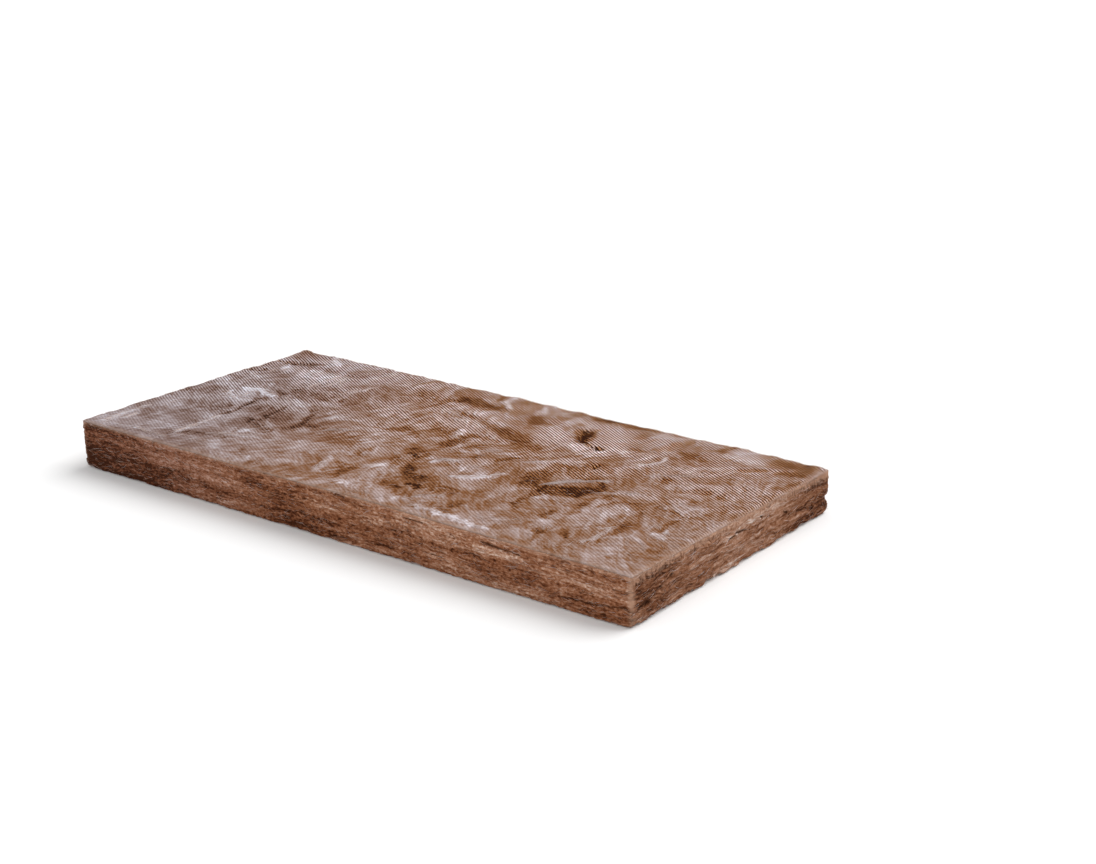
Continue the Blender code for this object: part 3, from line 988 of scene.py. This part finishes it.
def floor_material():
    """Matte and pale."""
    pattern = Pattern("floor")
    pattern.feed(pattern.shader.inputs["Base Color"], FLOOR_COLOUR)
    pattern.finish(*FLOOR_FINISH)
    return pattern.material


class Strands:
    """Collects thin tubes with pointed ends into one mesh."""

    def __init__(self):
        self.points, self.faces, self.tones = [], [], []

    def add(self, path, radius, tone):
        """A tube along a path, thickest in its middle."""
        first = len(self.points)
        last = len(path) - 1
        for step, place in enumerate(path):
            if step in (0, last):
                self.points.append(place)
                self.tones.append(tone)
                continue
            along = (path[step + 1] - path[step - 1]).normalized()
            across = along.orthogonal().normalized()
            up = along.cross(across)
            here = radius * math.sin(math.pi * step / last) ** 0.5
            for side in range(STRAND_SIDES):
                turn = 2.0 * math.pi * side / STRAND_SIDES
                self.points.append(place + (across * math.cos(turn) + up * math.sin(turn)) * here)
                self.tones.append(tone)

        def ring(step):
            return [first + 1 + (step - 1) * STRAND_SIDES + side for side in range(STRAND_SIDES)]

        for side in range(STRAND_SIDES):
            beside = (side + 1) % STRAND_SIDES
            self.faces.append((first, ring(1)[beside], ring(1)[side]))
            for step in range(1, last - 1):
                here, following = ring(step), ring(step + 1)
                self.faces.append((here[side], here[beside], following[beside], following[side]))
            self.faces.append((len(self.points) - 1, ring(last - 1)[side], ring(last - 1)[beside]))

    def piece(self, name, material):
        mesh = bpy.data.meshes.new(name)
        mesh.from_pydata(self.points, [], self.faces)
        mesh.update()
        store(mesh, "tone", self.tones)
        mesh.shade_smooth()
        mesh.materials.append(material)
        made = placed(name, mesh)
        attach(made, "root")


def crawl(tree, start, heading, length, steps, bend, lift):
    """A path of even steps over the slab's surface. It turns by bend at each step, and stands off the
    surface by up to lift in its middle."""
    place, normal = tree.find_nearest(start)[:2]
    path = []
    for step in range(steps + 1):
        path.append(place + normal * lift * math.sin(math.pi * step / steps))
        heading = heading - normal * heading.dot(normal)
        heading.rotate(Quaternion(normal, bend))
        heading.normalize()
        place, normal = tree.find_nearest(place + heading * (length / steps))[:2]
    smooth = path[:1]
    smooth += [(before + here * 2.0 + after) / 4.0 for before, here, after in zip(path, path[1:], path[2:])]
    return smooth + path[-1:]


def top_fibres(tree, draw):
    """Fibres on the top face: combed along the pale marks, and strewn between them."""
    strands = Strands()
    for half_width, strength, *line in in_metres(PALE_MARKS):
        line = [Vector(place) for place in line]
        length = sum((b - a).length for a, b in zip(line, line[1:]))
        for _ in range(int(4 + 420 * length * strength * (1.5 if half_width < 0.007 else 0.7))):
            part = draw.randrange(len(line) - 1)
            run = line[part + 1] - line[part]
            aside = Vector((-run.y, run.x)).normalized() * draw.gauss(0.0, half_width * 0.6)
            begin = line[part] + run * draw.uniform(-0.2, 0.8) + aside
            start = Vector((begin.x - HALF_LENGTH, begin.y - HALF_WIDTH, TALLEST))
            heading = Vector((run.x, run.y, 0.0)).normalized()
            heading.rotate(Quaternion((0.0, 0.0, 1.0), draw.gauss(0.0, 0.16)))
            size = draw.uniform(0.010, 0.034)
            path = crawl(tree, start, heading, size, 6, draw.gauss(0.0, 0.06), draw.uniform(0.0004, 0.0014))
            radius, tone = draw.uniform(0.00014, 0.00034), draw.uniform(0.55, 1.0)
            strands.add(path, radius, tone * min(1.0, 0.4 + strength))
    for _ in range(STREWN_COUNT):
        start = Vector((draw.uniform(-1, 1) * HALF_LENGTH, draw.uniform(-1, 1) * HALF_WIDTH, TALLEST))
        turn = draw.uniform(0.0, 2.0 * math.pi)
        heading = Vector((math.cos(turn), math.sin(turn), 0.0))
        size = draw.uniform(0.008, 0.036)
        path = crawl(tree, start, heading, size, 6, draw.gauss(0.0, 0.16), draw.uniform(0.0002, 0.0011))
        strands.add(path, draw.uniform(0.00010, 0.00022), draw.uniform(0.2, 0.95))
    return strands


def edge_place(draw, share):
    """A random place on one of the cut faces, a share of the way up, with its face's run direction."""
    around = draw.uniform(0.0, 4.0 * (HALF_LENGTH + HALF_WIDTH))
    for length, start, run in (
        (2.0 * HALF_LENGTH, (-HALF_LENGTH, -HALF_WIDTH), (1.0, 0.0)),
        (2.0 * HALF_WIDTH, (HALF_LENGTH, -HALF_WIDTH), (0.0, 1.0)),
        (2.0 * HALF_LENGTH, (HALF_LENGTH, HALF_WIDTH), (-1.0, 0.0)),
        (2.0 * HALF_WIDTH, (-HALF_LENGTH, HALF_WIDTH), (0.0, -1.0)),
    ):
        if around <= length:
            x, y = start[0] + run[0] * around, start[1] + run[1] * around
            return Vector((x, y, share * TALLEST * 0.96)), Vector((*run, 0.0))
        around -= length


def cut_fibres(tree, draw):
    """Fibres on the cut faces, along their layers, and a fringe that sticks out of the arrises."""
    strands = Strands()
    for _ in range(CUT_FIBRE_COUNT):
        start, run = edge_place(draw, draw.uniform(0.03, 0.99))
        heading = run * draw.choice((-1.0, 1.0))
        heading.rotate(Quaternion(heading.cross(Vector((0.0, 0.0, 1.0))), draw.gauss(0.0, 0.22)))
        size = draw.uniform(0.005, 0.026)
        path = crawl(tree, start, heading, size, 5, draw.gauss(0.0, 0.10), draw.uniform(0.0001, 0.0013))
        strands.add(path, draw.uniform(0.00010, 0.00026), draw.betavariate(2.0, 2.6))
    for _ in range(FRINGE_COUNT):
        at_top = draw.random() < 0.55
        start, run = edge_place(draw, 1.0 if at_top else 0.02)
        outward = run.cross(Vector((0.0, 0.0, 1.0)))
        up = Vector((0.0, 0.0, draw.uniform(-0.1, 0.9) if at_top else draw.uniform(0.0, 0.35)))
        near = tree.find_nearest(start)[0]
        lean = (run * draw.uniform(-1.6, 1.6) + outward * draw.uniform(0.2, 1.0) + up).normalized()
        size = draw.uniform(0.002, 0.0065)
        droop = Vector((0.0, 0.0, -draw.uniform(0.0, 0.3)))
        path = [near - lean * 0.001]
        for step in range(1, 5):
            share = step / 4.0
            path.append(near + lean * size * share + droop * size * share * share)
            path[-1].z = max(path[-1].z, 0.0006)
        strands.add(path, draw.uniform(0.00012, 0.00026), draw.uniform(0.3, 0.9))
    return strands


def make_floor():
    """A plain pale floor."""
    mesh = bpy.data.meshes.new("floor")
    reach = FLOOR_REACH
    corners = [(-reach, -reach, 0.0), (reach, -reach, 0.0), (reach, reach, 0.0), (-reach, reach, 0.0)]
    mesh.from_pydata(corners, [], [(0, 1, 2, 3)])
    mesh.materials.append(floor_material())
    placed("floor", mesh)


def make_lamps():
    """Two soft lamps."""
    for name, (direction, height, spread, strength) in LAMPS.items():
        light = bpy.data.lights.new(name, "SUN")
        light.energy = strength
        light.angle = math.radians(spread)
        turn = Matrix.Rotation(math.radians(direction - 90.0), 4, "Z")
        tilt = Matrix.Rotation(math.radians(height - 90.0), 4, "X")
        placed(name, light).matrix_world = turn @ tilt


def make_room():
    """A room that is white at the horizon and dimmer above."""
    world = bpy.data.worlds.new("room")
    world.use_nodes = True
    nodes, links = world.node_tree.nodes, world.node_tree.links
    direction = nodes.new("ShaderNodeTexCoord")
    split = nodes.new("ShaderNodeSeparateXYZ")
    links.new(direction.outputs["Generated"], split.inputs[0])
    fade = nodes.new("ShaderNodeMapRange")
    fade.inputs["From Min"].default_value, fade.inputs["From Max"].default_value = HORIZON_FADE
    fade.inputs["To Min"].default_value = HORIZON_STRENGTH
    fade.inputs["To Max"].default_value = ROOM_STRENGTH
    links.new(split.outputs["Z"], fade.inputs["Value"])
    links.new(fade.outputs[0], nodes["Background"].inputs["Strength"])
    nodes["Background"].inputs["Color"].default_value = (1.0, 1.0, 1.0, 1.0)
    bpy.context.scene.world = world


def make_camera():
    """The camera, where the photograph was taken from."""
    camera = bpy.data.cameras.new("camera")
    camera.lens = CAMERA_LENS
    camera.sensor_width = SENSOR_WIDTH
    camera.clip_end = 4.0 * FLOOR_REACH
    holder = placed("camera", camera)
    turn = Matrix.Rotation(math.radians(CAMERA_TURN), 4, "Z")
    tilt = Matrix.Rotation(math.radians(90.0 - CAMERA_DOWN), 4, "X")
    roll = Matrix.Rotation(math.radians(CAMERA_ROLL), 4, "Z")
    holder.matrix_world = Matrix.Translation(CAMERA_PLACE) @ turn @ tilt @ roll
    bpy.context.scene.camera = holder


def dress_slab():
    """The slab itself. Returns its surface, for the fibres to lie on."""
    mesh, points, plain, on_belt, depths, arrises = make_slab()
    tone, torn, grey = shape_relief(mesh, points, plain, on_belt, depths, arrises)
    stored = {"tone": tone, "torn": torn, "grey": grey, "on_belt": on_belt, "depth": depths}
    for name, values in stored.items():
        store(mesh, name, values)
    mesh.shade_smooth()
    mesh.materials.append(wool_material())
    slab = placed("glass_wool_slab", mesh)
    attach(slab, "root")
    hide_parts("batt")
    return surface_of(mesh)


make_camera()
make_floor()
make_lamps()
make_room()
bpy.context.scene.view_settings.view_transform = "Standard"
surface = dress_slab()
fibre_finish = fibre_material()
top_fibres(surface, random.Random(TOP_SEED)).piece("top_fibres", fibre_finish)
cut_fibres(surface, random.Random(CUT_SEED)).piece("cut_fibres", fibre_finish)
